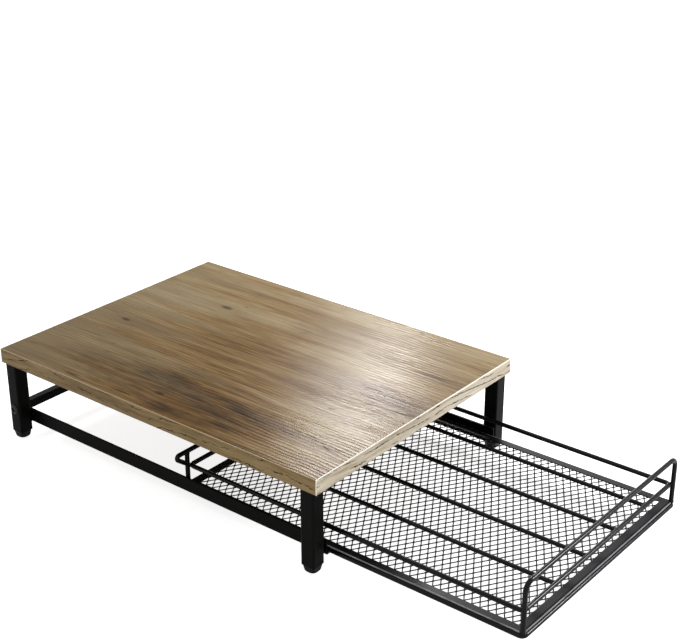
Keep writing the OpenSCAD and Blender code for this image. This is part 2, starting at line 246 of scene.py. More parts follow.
class Graph:
    """The node tree of a material or of the world, built from expressions."""

    def __init__(self, owner: Union[bpy.types.Material, bpy.types.World]) -> None:
        """Start with an empty tree.

        Args:
            owner: the material or the world.
        """
        owner.use_nodes = True
        self.owner = owner
        self.tree = owner.node_tree
        self.tree.nodes.clear()

    @classmethod
    def named(cls, name: str) -> Graph:
        """Start a new material."""
        return cls(bpy.data.materials.new(name))

    def raw(self, type_name: str, settings: Settings = None, links: Links = None) -> bpy.types.Node:
        """Add a node, set it, then fill its sockets.

        Args:
            type_name: the node's type.
            settings: properties set first; "stops" gives a ramp's places and colours.
            links: a value or a signal for each socket, by identifier, name or index.

        Returns:
            The node.
        """
        node = self.tree.nodes.new(type_name)
        for key, value in (settings or {}).items():
            if key == "stops":
                self._set_stops(node.color_ramp, value)
            else:
                setattr(node, key, value)
        for key, value in (links or {}).items():
            socket = self._find(node.inputs, key)
            if isinstance(value, Signal):
                self.tree.links.new(value.socket, socket)
            elif isinstance(value, bpy.types.NodeSocket):
                self.tree.links.new(value, socket)
            elif socket.type == "RGBA" and not isinstance(value, (int, float)):
                socket.default_value = (*value[:3], 1.0)
            elif socket.type in ("VECTOR", "RGBA") and isinstance(value, (int, float)):
                socket.default_value = (value,) * len(socket.default_value)
            else:
                socket.default_value = value
        return node

    def node(
        self,
        type_name: str,
        settings: Settings = None,
        links: Links = None,
        out: Union[str, int] = 0,
        kind: Kind = Kind.VALUE,
    ) -> Signal:
        """Add a node and take one of its outputs as a signal.

        Args:
            type_name: the node's type.
            settings: properties set first.
            links: a value or a signal for each socket.
            out: the output, by identifier, name or index.
            kind: what the output carries.

        Returns:
            The output's signal.
        """
        return Signal(self, self._find(self.raw(type_name, settings, links).outputs, out), kind)

    def combine(self, operation: str, first: Term, second: Term) -> Signal:
        """Join two terms by one operation: Math for values, Vector Math for vectors, Mix for colours.

        Args:
            operation: ADD, SUBTRACT, MULTIPLY, DIVIDE or POWER.
            first: the left term.
            second: the right term.

        Returns:
            The result.
        """
        kinds = {term.kind for term in (first, second) if isinstance(term, Signal)}
        if Kind.VECTOR in kinds:
            links = {0: first, 1: second}
            return self.node("ShaderNodeVectorMath", {"operation": operation}, links, 0, Kind.VECTOR)
        if Kind.COLOUR in kinds:
            settings = {"data_type": "RGBA", "blend_type": operation}
            links = {"Factor_Float": 1.0, "A_Color": first, "B_Color": second}
            return self.node("ShaderNodeMix", settings, links, "Result_Color", Kind.COLOUR)
        return self.node("ShaderNodeMath", {"operation": operation}, {0: first, 1: second})

    def vector(self, x: Term, y: Term, z: Term) -> Signal:
        """Join three values into a vector.

        Args:
            x: the first value.
            y: the second value.
            z: the third value.

        Returns:
            The vector.
        """
        return self.node("ShaderNodeCombineXYZ", None, {"X": x, "Y": y, "Z": z}, 0, Kind.VECTOR)

    def point(self) -> Signal:
        """Give the place on the object as a vector, in metres."""
        return self.node("ShaderNodeTexCoord", None, None, "Object", Kind.VECTOR)

    def place(self) -> tuple[Signal, Signal, Signal]:
        """Give the place on the object as values, in metres.

        Returns:
            The three values X, Y and Z.
        """
        split = self.raw("ShaderNodeSeparateXYZ", None, {"Vector": self.point()})
        x, y, z = (Signal(self, output) for output in split.outputs)
        return x, y, z

    def clouds(self, where: Signal, scale: float = 1.0, detail: float = 2.0, rough: float = 0.5) -> Signal:
        """Give soft noise around 0.5.

        Args:
            where: the place that it is read at.
            scale: lumps for each unit of that place.
            detail: number of finer layers.
            rough: weight of the finer layers.

        Returns:
            The noise's value.
        """
        links = {"Vector": where, "Scale": scale, "Detail": detail, "Roughness": rough}
        return self.node("ShaderNodeTexNoise", None, links)

    def ramp(self, value: Signal, *stops: tuple[float, Colour]) -> Signal:
        """Turn a value into a colour.

        Args:
            value: where to read the ramp.
            stops: places and colours.

        Returns:
            The colour.
        """
        return self.node("ShaderNodeValToRGB", {"stops": stops}, {0: value}, 0, Kind.COLOUR)

    def bump(self, height: Signal, depth: float, strength: float = 1.0) -> Signal:
        """Turn a height into a bent normal.

        Args:
            height: the height, from 0 to 1.
            depth: what a height of 1 is, in metres.
            strength: share of the bend that is used.

        Returns:
            The normal.
        """
        links = {"Height": height, "Distance": depth, "Strength": strength}
        return self.node("ShaderNodeBump", None, links, 0, Kind.VECTOR)

    def shade(self, **sockets: object) -> bpy.types.Material:
        """Close the material with a Principled shader.

        Args:
            sockets: what goes on the shader's sockets, with _ for the space in a name.

        Returns:
            The finished material.
        """
        links = {name.replace("_", " "): value for name, value in sockets.items()}
        shader = self.raw("ShaderNodeBsdfPrincipled", None, links)
        self.raw("ShaderNodeOutputMaterial", None, {"Surface": shader.outputs[0]})
        return self.owner

    @staticmethod
    def _find(sockets: bpy.types.bpy_prop_collection, key: Union[str, int]) -> bpy.types.NodeSocket:
        """Find a socket by index, identifier or name.

        Args:
            sockets: a node's inputs or outputs.
            key: which one.

        Returns:
            The socket.
        """
        if isinstance(key, int):
            return sockets[key]
        return next((socket for socket in sockets if socket.identifier == key), None) or sockets[key]

    @staticmethod
    def _set_stops(ramp: bpy.types.ColorRamp, stops: Sequence[tuple[float, Colour]]) -> None:
        """Write a ramp's stops.

        Args:
            ramp: the ramp.
            stops: places and colours, from low to high.
        """
        while len(ramp.elements) < len(stops):
            ramp.elements.new(1.0)
        for element, (position, colour) in zip(ramp.elements, stops):
            element.position = position
            element.color = (*colour, 1.0)


# ---- Sizes of the CAD model ----


@dataclass(frozen=True)
class Span:
    """The box that CAD nodes fill at rest."""

    low: Vector
    high: Vector

    @classmethod
    def of(cls, *nodes: str) -> Span:
        """Measure one node, or several together.

        Args:
            nodes: their names.

        Returns:
            Their box.
        """
        lows, highs = zip(*(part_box(node) for node in nodes))
        low = Vector([min(parts) for parts in zip(*lows)])
        return cls(low, Vector([max(parts) for parts in zip(*highs)]))

    @property
    def middle(self) -> Vector:
        """Give the box's centre."""
        return (self.low + self.high) / 2

    @property
    def size(self) -> Vector:
        """Give the box's size."""
        return self.high - self.low


# ---- Finishes ----


@dataclass(frozen=True)
class Weave:
    """Noise around 0, stretched along a grain.

    It has `first` and `second` lumps for each metre of two places. Its third place is the fixed `layer`.
    Without a layer it is the height, stretched as the first place is.
    """

    first: float
    second: float
    layer: Optional[float] = None
    detail: float = 2.0
    rough: float = 0.5
    weight: float = 1.0

    def read(self, first: Signal, second: Term, height: Term = 0.0, seed: float = 0.0) -> Signal:
        """Read the noise at a place.

        Args:
            first: the first place, in metres.
            second: the second place, in metres.
            height: the height, which a weave with a layer leaves out.
            seed: a shift that gives a piece noise of its own.

        Returns:
            A value from minus half the weight to half the weight.
        """
        graph = first.graph
        third = height * self.first if self.layer is None else self.layer
        where = graph.vector(first * self.first + seed, second * self.second, third)
        return (graph.clouds(where, detail=self.detail, rough=self.rough) - 0.5) * self.weight


@dataclass(frozen=True)
class Knot:
    """A spot in the grain, such as a knot: its place, half width and half length, in metres."""

    x: float
    y: float
    half_w: float
    half_l: float


@dataclass(frozen=True)
class Laminate:
    """Rustic wood-grain laminate, its grain along Y, with fine embossed ridges, hair cracks and knots."""

    name: str = "laminate"
    # The wood's dark, brown, warm and pale colours, each at its tone
    tones: tuple[tuple[float, Colour], ...] = (
        (0.12, srgb(54, 35, 8)),
        (0.38, srgb(101, 72, 33)),
        (0.60, srgb(132, 106, 66)),
        (0.88, srgb(162, 144, 110)),
    )
    # The middle tone, and how much lighter it gets for each metre to the right: partly the wood's own tone and
    # partly painted light falling from the right
    tone: float = 0.62
    rightward_tone_and_painted_light: float = 1.15
    # The layers of its figure, whose first place is across the grain and whose second is along it
    sway: Weave = Weave(7.0, 4.2, weight=0.010)
    cloud: Weave = Weave(14.0, 4.5, detail=2.5, weight=0.85)
    streak: Weave = Weave(75.0, 5.0, weight=0.60)
    line: Weave = Weave(420.0, 11.0, detail=3.0, rough=0.65)
    mottle: Weave = Weave(170.0, 30.0, detail=3.0, rough=0.6)
    line_share: float = 0.80
    mottle_share: float = 0.28
    # The browner heartwood on the left, darkened further by a painted shadow: its place and size, its ragged
    # edge, and how dark and mottled it is
    heart_and_shadow: Knot = Knot(-0.110, 0.105, 0.046, 0.150)
    heart_and_shadow_edge: Weave = Weave(95.0, 7.0, layer=1.0, detail=3.0, rough=0.6, weight=3.0)
    heart_and_shadow_depth: float = 0.29
    heart_and_shadow_mottle: float = 0.62
    # The greyed wood at the rear: where it starts and is full, its slant and its ragged edge
    grey: Colour = srgb(119, 105, 79)
    grey_from: float = 0.10
    grey_full: float = 0.34
    grey_slant: float = 0.35
    grey_edge: Weave = Weave(55.0, 3.5, layer=3.0, detail=3.0, rough=0.6, weight=0.55)
    grey_share: float = 0.7
    # The dark marks
    crack: Colour = srgb(34, 22, 8)
    mark_share: float = 0.60
    pores: Weave = Weave(800.0, 42.0, rough=0.6)
    ticks: Weave = Weave(300.0, 70.0, detail=1.0)
    rings: Weave = Weave(22.0, 0.9, weight=10.0)
    ring_parts: Weave = Weave(60.0, 7.0, detail=1.5)
    # The knots, and how the grain bends round them
    knots: tuple[Knot, ...] = (
        Knot(-0.119, 0.109, 0.0030, 0.0070),
        Knot(0.066, 0.196, 0.0032, 0.0080),
        Knot(-0.022, 0.258, 0.0026, 0.0065),
    )
    knot_share: float = 0.72
    knot_bend: float = 0.9
    knot_reach: float = 0.30
    knot_fall: float = 1.6
    # The embossed ridges: their pitch and phase, how they wander, and how shallow they get
    ridge_pitch: float = 4.2 * MM
    ridge_phase: float = 2.75
    ridge_sway: float = 0.4
    ridge_wander: Weave = Weave(14.0, 17.0, layer=5.0, detail=1.0, weight=0.007)
    ridge_jitter: Weave = Weave(190.0, 24.0, layer=7.0, weight=5.5)
    ridge_fading: Weave = Weave(60.0, 16.0, layer=4.0)
    shallow: float = 0.40
    # The surface
    relief: float = 0.15 * MM
    roughness: float = 0.19
    specular: float = 0.038

    def material(self) -> bpy.types.Material:
        """Build the finish.

        Returns:
            The material.
        """
        graph = Graph.named(self.name)
        x, y, z = graph.place()
        across, knots = self._round_knots(x, y)
        sway = self.sway.read(across, y, z)
        warped = across + sway
        line = self.line.read(warped, y, z)
        marks = self._marks(warped, y, z, line)
        colour = (marks * self.mark_share).blend(self._figure(x, y, z, warped, line), self.crack)
        colour = (knots * self.knot_share).blend(colour, self.crack)
        ridge = self._ridges(across + sway * self.ridge_sway + self.ridge_wander.read(x, y), y)
        relief = ridge * 0.8 + line * 0.25 - marks * 0.3
        return graph.shade(
            Base_Color=colour,
            Roughness=self.roughness + (1.0 - ridge) * 0.06 + marks * 0.15,
            Specular_IOR_Level=self.specular,
            Normal=graph.bump(relief, self.relief),
        )

    def _figure(self, x: Signal, y: Signal, z: Signal, warped: Signal, line: Signal) -> Signal:
        """Colour the wood, without its marks, with a painted shadow on the browner patch at the left.

        Args:
            x: the place across the grain.
            y: the place along the grain.
            z: the height.
            warped: the place across the grain, bent as the grain is.
            line: the fine grain.

        Returns:
            The colour.
        """
        # The browner heartwood, with a painted shadow over it
        heart_and_shadow = self._heartwood_and_shadow(x, y)
        broad = self.cloud.read(warped, y, z) + self.streak.read(warped, y, z)
        mottle = self.mottle.read(warped, y, z) * (self.mottle_share + heart_and_shadow * self.heart_and_shadow_mottle)
        grain = broad + line * self.line_share + mottle
        # Lighter to the right, partly the wood's own tone and partly painted light falling from the right
        tone = self.tone + grain + x * self.rightward_tone_and_painted_light - heart_and_shadow * self.heart_and_shadow_depth
        colour = tone.graph.ramp(tone, *self.tones)
        rear = (y - x * self.grey_slant + self.grey_edge.read(warped, y)).step(self.grey_from, self.grey_full)
        return (rear * self.grey_share).blend(colour, self.grey)

    def _ridges(self, across: Signal, y: Signal) -> Signal:
        """Emboss fine ridges along the grain, deep in one place and shallow in the next.

        Args:
            across: the warped place across the grain.
            y: the place along the grain.

        Returns:
            Their height.
        """
        turn = across * (math.tau / self.ridge_pitch) + self.ridge_jitter.read(across, y) + self.ridge_phase
        wave = turn.maths("SINE") * 0.5 + 0.5
        depth = self.ridge_fading.read(across, y).step(-0.12, 0.18)
        return wave * (self.shallow + depth * (1.0 - self.shallow))

    def _heartwood_and_shadow(self, x: Signal, y: Signal) -> Signal:
        """Give the mask of the browner wood and the painted shadow on it.

        Args:
            x: the place across the grain.
            y: the place along the grain.

        Returns:
            The mask, with a ragged edge.
        """
        off = ((x - self.heart_and_shadow.x) / self.heart_and_shadow.half_w) ** 2 + ((y - self.heart_and_shadow.y) / self.heart_and_shadow.half_l) ** 2
        return (off + self.heart_and_shadow_edge.read(x, y)).step(1.6, -0.3)

    def _round_knots(self, x: Signal, y: Signal) -> tuple[Signal, Signal]:
        """Bend the grain round the knots.

        Args:
            x: the place across the grain.
            y: the place along the grain.

        Returns:
            The bent place across the grain, and the knots' own mask.
        """
        bent: Signal = x
        mask: Optional[Signal] = None
        for knot in self.knots:
            off = x - knot.x
            wide = (off / knot.half_w) ** 2
            long = ((y - knot.y) / knot.half_l) ** 2
            reach = 1.0 + wide * self.knot_reach + long * self.knot_reach
            bent = bent - off / (reach**self.knot_fall) * self.knot_bend
            spot = (wide + long).step(1.5, 0.1)
            mask = spot if mask is None else mask.maths("MAXIMUM", spot)
        return bent, mask

    def _marks(self, across: Signal, y: Signal, z: Signal, line: Signal) -> Signal:
        """Draw the dark marks: pores, short ticks and hair cracks along the grain.

        Args:
            across: the warped place across the grain.
            y: the place along the grain.
            z: the height.
            line: the fine grain.

        Returns:
            The mask of the marks.
        """
        pores = self.pores.read(across, y, z).step(0.06, 0.20) * line.step(-0.02, 0.10)
        ticks = self.ticks.read(across, y, z).step(0.20, 0.25)
        hair = (self.rings.read(across, y, z).maths("FRACT") - 0.5).maths("ABSOLUTE").step(0.050, 0.012)
        part = self.ring_parts.read(across, y, z).step(0.04, 0.12)
        return (pores * 0.40 + ticks * 0.7 + hair * part * 0.9).maths("MINIMUM", 1.0)


@dataclass(frozen=True)
class EdgeBand:
    """Wood-grain edge band with its grain along the edge, sweeping cracks and a painted highlight along its
    upper arris.
    """

    name: str
    band: Span
    along_y: bool
    ground: Colour
    light: Colour
    shadow: Colour
    crack: Colour
    # arris is the colour of the painted highlight on the upper arris and the band's ends
    arris: Colour
    # The painted highlight along the upper arris and the dark foot: where they start from the edge, and where
    # the foot is full
    arris_highlight_w: float = 1.2 * MM
    foot_w: float = 1.1 * MM
    foot_full: float = 0.2 * MM
    # The painted highlight on the corners at the band's ends: their share of the arris highlight's colour, and
    # where they start and are full
    end_highlight: float = 0.0
    end_w: float = 1.1 * MM
    end_full: float = 0.6 * MM
    # The lines: number for each metre of height, slope, sweep in line pitches, half width in pitches, and
    # the noise that they are broken under
    rings: float = 150.0
    slope: float = 0.05
    sweep: float = 2.2
    hair: float = 0.095
    crack_low: float = 0.0
    seed: float = 0.0
    # The layers of the figure, whose first place is along the grain and whose second is the height
    drift: Weave = Weave(13.0, 0.0, layer=0.0, detail=2.5, weight=0.012)
    broad: Weave = Weave(9.0, 150.0, layer=0.3, detail=2.5, rough=0.55, weight=1.1)
    fine: Weave = Weave(42.0, 700.0, layer=0.7, detail=2.5, rough=0.65)
    wobble: Weave = Weave(260.0, 300.0, layer=1.0, weight=0.45)
    bend: Weave = Weave(11.0, 1.0, layer=0.3, detail=2.5)
    thinning: Weave = Weave(90.0, 200.0, layer=9.0, weight=0.22)
    parts: Weave = Weave(34.0, 140.0, layer=5.0)
    roughness: float = 0.40
    specular: float = 0.22
    relief: float = 0.30 * MM

    def material(self) -> bpy.types.Material:
        """Build the finish.

        Returns:
            The material.
        """
        graph = Graph.named(self.name)
        x, y, z = graph.place()
        along = y if self.along_y else x
        level = z + self.drift.read(along, 0.0, seed=self.seed) + along * self.slope
        fine = self.fine.read(along, level, seed=self.seed)
        tone = 0.5 + self.broad.read(along, level, seed=self.seed) + fine * 0.8
        colour = graph.ramp(tone, (0.25, self.shadow), (0.52, self.ground), (0.78, self.light))
        cracks = self._cracks(along, level)
        colour = self._edges(along, z, cracks.blend(colour, self.crack))
        relief = fine * 0.5 - cracks * 0.8
        return graph.shade(
            Base_Color=colour,
            Roughness=self.roughness + cracks * 0.2 + fine * 0.15,
            Specular_IOR_Level=self.specular,
            Normal=graph.bump(relief, self.relief, 0.6),
        )

    def _edges(self, along: Signal, z: Signal, colour: Signal) -> Signal:
        """Paint a highlight on the band's upper arris and its ends, and darken its lower edge.

        Args:
            along: the place along the band.
            z: the height.
            colour: the band's colour.

        Returns:
            The colour with its edges.
        """
        top, foot, end = self.band.high.z, self.band.low.z, self.band.high.x
        arris_highlight = z.step(top - self.arris_highlight_w, top - self.arris_highlight_w * 0.5)
        lower = z.step(foot + self.foot_w, foot + self.foot_full)
        colour = (lower * 0.6).blend((arris_highlight * 0.95).blend(colour, self.arris), self.shadow)
        if not self.end_highlight:
            return colour
        corner = along.maths("ABSOLUTE").step(end - self.end_w, end - self.end_full)
        return (corner * self.end_highlight).blend(colour, self.arris)

    def _cracks(self, along: Signal, level: Signal) -> Signal:
        """Draw broken lines that sweep along the band, as a growth ring's cut does.

        Args:
            along: the place along the band.
            level: the warped height.

        Returns:
            The mask of the lines.
        """
        sweep = (self.bend.read(along, 0.3, seed=self.seed) + 0.5) * self.sweep
        height = level * self.rings + sweep + self.wobble.read(along, level, seed=self.seed)
        near = (height.maths("FRACT") - 0.5).maths("ABSOLUTE")
        near = near - self.thinning.read(along, level, seed=self.seed)
        hair = near.step(self.hair, self.hair * 0.4)
        parts = self.parts.read(along, level, seed=self.seed)
        return hair * parts.step(self.crack_low, self.crack_low + 0.05)


@dataclass(frozen=True)
class PowderCoat:
    """Black powder coat with a fine orange peel, and on a given frame a painted highlight along its outer
    arris.
    """

    name: str
    colour: Colour
    roughness: float
    specular: float
    peel: float = 0.02 * MM
    # The frame whose outer arris gets a painted highlight line, the width of that line and its colour
    highlit_span: Optional[Span] = None
    highlight_w: float = 0.8 * MM
    highlight_colour: Colour = (0.36, 0.36, 0.38)
    # Lumps for each metre of the peel, the patches, the worn spots and the breaks in the painted highlight
    # line
    peel_grain: float = 1500.0
    patch_grain: float = 55.0
    wear_grain: float = 260.0
    break_grain: float = 60.0

    def material(self) -> bpy.types.Material:
        """Build the finish.

        Returns:
            The material.
        """
        graph = Graph.named(self.name)
        where = graph.point()
        patch = graph.clouds(where, self.patch_grain)
        wear = graph.clouds(where, self.wear_grain, detail=3.0, rough=0.65).step(0.60, 0.80)
        colour = (patch * 0.5 + wear * 0.35).blend(self.colour, tinted(self.colour, 1.8))
        # A painted highlight along the frame's outer top arris
        if self.highlit_span:
            colour = self._painted_highlight(graph).blend(colour, self.highlight_colour)
        return graph.shade(
            Base_Color=colour,
            Roughness=self.roughness - 0.04 + patch * 0.08 + wear * 0.05,
            Specular_IOR_Level=self.specular,
            Normal=graph.bump(graph.clouds(where, self.peel_grain), self.peel, 0.55),
        )

    def _painted_highlight(self, graph: Graph) -> Signal:
        """Give the mask of the painted highlight on the outer arris.

        Args:
            graph: the material's graph.

        Returns:
            The mask, a narrow broken line along the outer edges.
        """
        x, y, _ = graph.place()
        middle, half = self.highlit_span.middle, self.highlit_span.size / 2
        aside = (x - middle.x).maths("ABSOLUTE") - half.x
        outward = aside.maths("MAXIMUM", (y - middle.y).maths("ABSOLUTE") - half.y)
        uneven = graph.clouds(graph.vector(x * self.break_grain, y * self.break_grain, 0.0)).step(0.30, 0.55)
        return outward.step(-self.highlight_w, -self.highlight_w * 0.6) * (0.55 + uneven * 0.45)


@dataclass(frozen=True)
class Moulded:
    """Black moulded plastic with a fine spark-eroded texture."""

    name: str
    colour: Colour
    roughness: float
    specular: float = 0.12
    relief: float = 0.03 * MM
    # Lumps for each metre of the texture and of the scuffs
    spark_grain: float = 2600.0
    scuff_grain: float = 190.0

    def material(self) -> bpy.types.Material:
        """Build the finish.

        Returns:
            The material.
        """
        graph = Graph.named(self.name)
        where = graph.point()
        spark = graph.clouds(where, self.spark_grain, detail=1.0)
        scuff = graph.clouds(where, self.scuff_grain, detail=3.0, rough=0.7).step(0.55, 0.85)
        return graph.shade(
            Base_Color=(scuff * 0.6).blend(self.colour, tinted(self.colour, 2.2)),
            Roughness=self.roughness + spark * 0.08 + scuff * 0.12,
            Specular_IOR_Level=self.specular,
            Normal=graph.bump(spark, self.relief, 0.5),
        )


@dataclass(frozen=True)
class Plated:
    """Bare or oxidised metal with faint turning marks."""

    name: str
    colour: Colour
    roughness: float
    metallic: float
    relief: float = 0.02 * MM
    # Lumps for each metre of the tarnish, and along and round the turned stock
    cloud_grain: float = 420.0
    mark_grain: Point = (300.0, 4000.0, 4000.0)

    def material(self) -> bpy.types.Material:
        """Build the finish.

        Returns:
            The material.
        """
        graph = Graph.named(self.name)
        where = graph.point()
        cloud = graph.clouds(where, self.cloud_grain, detail=3.0)
        marks = graph.clouds(where * self.mark_grain, detail=1.0)
        return graph.shade(
            Base_Color=cloud.blend(self.colour, tinted(self.colour, 0.72)),
            Metallic=self.metallic,
            Roughness=self.roughness + cloud * 0.12,
            Normal=graph.bump(marks, self.relief, 0.4),
        )


@dataclass
class Finishes:
    """Every finish on the object, by slot."""

    materials: dict[Slot, bpy.types.Material] = field(default_factory=dict)

    def mix(self) -> None:
        """Build every material once."""
        recipes = {
            Slot.BOARD_FACE: Laminate(),
            Slot.BOARD_END: EdgeBand(
                "pale_band",
                Span.of("edge_band_front"),
                along_y=False,
                ground=srgb(204, 192, 170),
                light=srgb(226, 216, 198),
                shadow=srgb(170, 153, 127),
                crack=srgb(52, 41, 31),
                # The pale band's painted highlight on its upper arris and its ends
                arris=srgb(255, 250, 236),
                crack_low=-0.07,
                end_highlight=0.9,
            ),
            Slot.BOARD_SIDE: EdgeBand(
                "brown_band",
                Span.of("edge_band_left"),
                along_y=True,
                ground=srgb(154, 128, 85),
                light=srgb(174, 149, 106),
                shadow=srgb(120, 94, 58),
                crack=srgb(66, 47, 27),
                # The brown band's painted highlight on its upper arris
                arris=srgb(190, 166, 126),
                crack_low=-0.08,
                arris_highlight_w=0.8 * MM,
                rings=105.0,
                sweep=4.5,
                hair=0.055,
                slope=0.03,
                seed=7.3,
            ),
            Slot.FRAME: PowderCoat("frame_coat", (0.0030, 0.0030, 0.0027), 0.42, specular=0.06),
            Slot.DRAWER_WIRE: PowderCoat("wire_coat", (0.0035, 0.0035, 0.0046), 0.19, specular=0.15),
            Slot.MESH: PowderCoat("mesh_coat", (0.0060, 0.0060, 0.0065), 0.44, specular=0.15),
            Slot.FOOT: Moulded("moulded_foot", (0.0045, 0.0045, 0.0045), 0.40),
            Slot.ZINC: Plated("zinc", (0.55, 0.55, 0.56), 0.30, 1.0),
            Slot.BOLT: Plated("black_oxide", (0.012, 0.012, 0.012), 0.38, 0.4),
        }
        for slot, recipe in recipes.items():
            self.materials[slot] = recipe.material()

    def of(self, slot: Slot) -> bpy.types.Material:
        """Give a slot's material."""
        return self.materials[slot]


# ---- Pieces ----


@dataclass
class Workshop:
    """Holds the frame and the finishes, and dresses or adds pieces."""

    frame: Mapping[str, object]
    finishes: Finishes
    # How edges are rounded: the gap that is closed first, the steps and the least angle of a sharp edge
    weld_gap: float = 0.002 * MM
    arris_steps: int = 2
    arris_angle: float = math.radians(40)

    def dress(
        self,
        names: Iterable[str],
        slot: Slot,
        arris: float = 0.0,
        coat: Optional[bpy.types.Material] = None,
    ) -> None:
        """Give CAD nodes their finish, and round their sharp edges.

        Args:
            names: the nodes.
            slot: their material slot.
            arris: width of the rounding in metres, or 0 to leave the edges.
            coat: a material of their own, instead of the slot's.
        """
        for name in names:
            node = self.frame["nodes"][name]
            node.data.materials.clear()
            node.data.materials.append(coat or self.finishes.of(slot))
            if arris:
                self._round(node, arris)
            LOG.info("dressed %s as %s", name, slot.value)

    def add(
        self,
        name: str,
        form: bmesh.types.BMesh,
        body: Body,
        slot: Slot,
        smooth: bool = True,
    ) -> bpy.types.Object:
        """Make a piece from a mesh.

        Args:
            name: the piece's name.
            form: its mesh, which is freed.
            body: the body that it rides on.
            slot: its material slot.
            smooth: whether its faces are shaded smooth.

        Returns:
            The piece.
        """
        mesh = bpy.data.meshes.new(name)
        for face in form.faces:
            face.smooth = smooth
        form.to_mesh(mesh)
        form.free()
        piece = bpy.data.objects.new(name, mesh)
        bpy.context.scene.collection.objects.link(piece)
        mesh.materials.append(self.finishes.of(slot))
        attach(piece, body.value)
        LOG.info("built %s on %s: %d faces", name, body.value, len(mesh.polygons))
        return piece

    def _round(self, node: bpy.types.Object, width: float) -> None:
        """Round a node's sharp edges with modifiers, which leave its mesh alone.

        Args:
            node: the CAD node.
            width: width of the rounding.
        """
        weld = node.modifiers.new("weld", "WELD")
        weld.merge_threshold = self.weld_gap
        bevel = node.modifiers.new("arris", "BEVEL")
        bevel.width = width
        bevel.segments = self.arris_steps
        bevel.limit_method = "ANGLE"
        bevel.angle_limit = self.arris_angle
        bevel.harden_normals = True


@dataclass
class WoodenTop:
    """The laminated board and its four edge bands."""

    board_arris: float = 0.05 * MM
    band_arris: float = 0.35 * MM

    def dress(self, shop: Workshop) -> None:
        """Finish the board and its bands.

        Args:
            shop: the workshop.
        """
        shop.dress(["board"], Slot.BOARD_FACE, self.board_arris)
        shop.dress(["edge_band_front", "edge_band_rear"], Slot.BOARD_END, self.band_arris)
        shop.dress(["edge_band_left", "edge_band_right"], Slot.BOARD_SIDE, self.band_arris)


@dataclass
class CrossbarBolt:
    """A button-head bolt with a hexagon socket, along X."""

    face_x: float
    shank_l: float
    head_d: float
    head_h: float
    shank_d: float = 4.0 * MM
    tip_chamfer: float = 0.4 * MM
    head_edge: float = 0.15 * MM
    # The head's crown: the angle that its curve ends at, its steps, the share of the radius that the curve
    # leaves for the middle, and its fullness
    crown_end: float = 62.0
    crown_steps: int = 8
    crown_blunt: float = 0.30
    crown_power: float = 0.9
    # The socket: its share of the head's radius, its depth, and its mouth's flare, shape and depth
    socket_share: float = 0.42
    socket_depth: float = 1.1 * MM
    mouth_flare: float = 1.06
    mouth_hexed: float = 0.75
    mouth_depth: float = 0.12 * MM
    sides: int = 48
    hexagon_half: float = math.radians(30)

    @classmethod
    def of(cls, node: str) -> CrossbarBolt:
        """Measure a bolt of the CAD model, whose head is seated on the leg beside it.

        Args:
            node: the bolt's node.

        Returns:
            A bolt of the same size.
        """
        span = Span.of(node)
        leg = Span.of(node.replace("crossbar_bolt", "leg_rear"))
        face_x = max(abs(leg.low.x), abs(leg.high.x))
        head_h = max(abs(span.low.x), abs(span.high.x)) - face_x
        return cls(face_x, span.size.x - head_h, span.size.z, head_h)

    def form(self, y: float, z: float, side: int) -> bmesh.types.BMesh:
        """Build the bolt.

        Args:
            y: the axis along the stand.
            z: the axis's height.
            side: -1 for the left, 1 for the right.

        Returns:
            The bolt's mesh.
        """
        form = bmesh.new()
        head_r, shank_r = self.head_d / 2, self.shank_d / 2
        profile = [(-self.shank_l, shank_r - self.tip_chamfer), (self.tip_chamfer - self.shank_l, shank_r)]
        profile += [(0.0, shank_r), (0.0, head_r - self.head_edge), (self.head_edge, head_r)]
        profile += [self._crown(step + 1) for step in range(self.crown_steps)]
        rings = [self._ring(form, along, radius, 0.0) for along, radius in profile]
        socket_r = head_r * self.socket_share / math.cos(self.hexagon_half)
        rings.append(self._ring(form, self.head_h, socket_r * self.mouth_flare, self.mouth_hexed))
        rings.append(self._ring(form, self.head_h - self.mouth_depth, socket_r, 1.0))
        rings.append(self._ring(form, self.head_h - self.socket_depth, socket_r, 1.0))
        for low, high in zip(rings, rings[1:]):
            for index in range(self.sides):
                after = (index + 1) % self.sides
                form.faces.new((low[index], low[after], high[after], high[index]))
        form.faces.new(list(reversed(rings[0])))
        form.faces.new(rings[-1])
        for vert in form.verts:
            along, across, up = vert.co
            vert.co = Vector((side * (self.face_x + along), y + across, z + up))
        bmesh.ops.recalc_face_normals(form, faces=form.faces)
        return form

    def _crown(self, step: int) -> tuple[float, float]:
        """Give a point of the head's curve.

        Args:
            step: which one, where the last is at the socket.

        Returns:
            Its place on the axis and its radius.
        """
        angle = math.radians(step * self.crown_end / self.crown_steps)
        share = math.sin(angle) / math.sin(math.radians(self.crown_end))
        radius = self.crown_blunt + (1 - self.crown_blunt) * math.cos(angle) ** self.crown_power
        return self.head_edge + (self.head_h - self.head_edge) * share, self.head_d / 2 * radius

    def _ring(self, form: bmesh.types.BMesh, along: float, radius: float, hexed: float) -> Ring:
        """Add a ring round the axis.

        Args:
            form: the mesh.
            along: its place on the axis.
            radius: its radius at the corners.
            hexed: share of a hexagon in its shape, from 0, round, to 1.

        Returns:
            Its vertices.
        """
        ring = []
        for index in range(self.sides):
            angle = math.tau * index / self.sides
            off = (angle + self.hexagon_half) % (self.hexagon_half * 2) - self.hexagon_half
            flat = math.cos(self.hexagon_half) / math.cos(off)
            size = radius * (1 - hexed + hexed * flat)
            ring.append(form.verts.new((along, size * math.cos(angle), size * math.sin(angle))))
        return ring


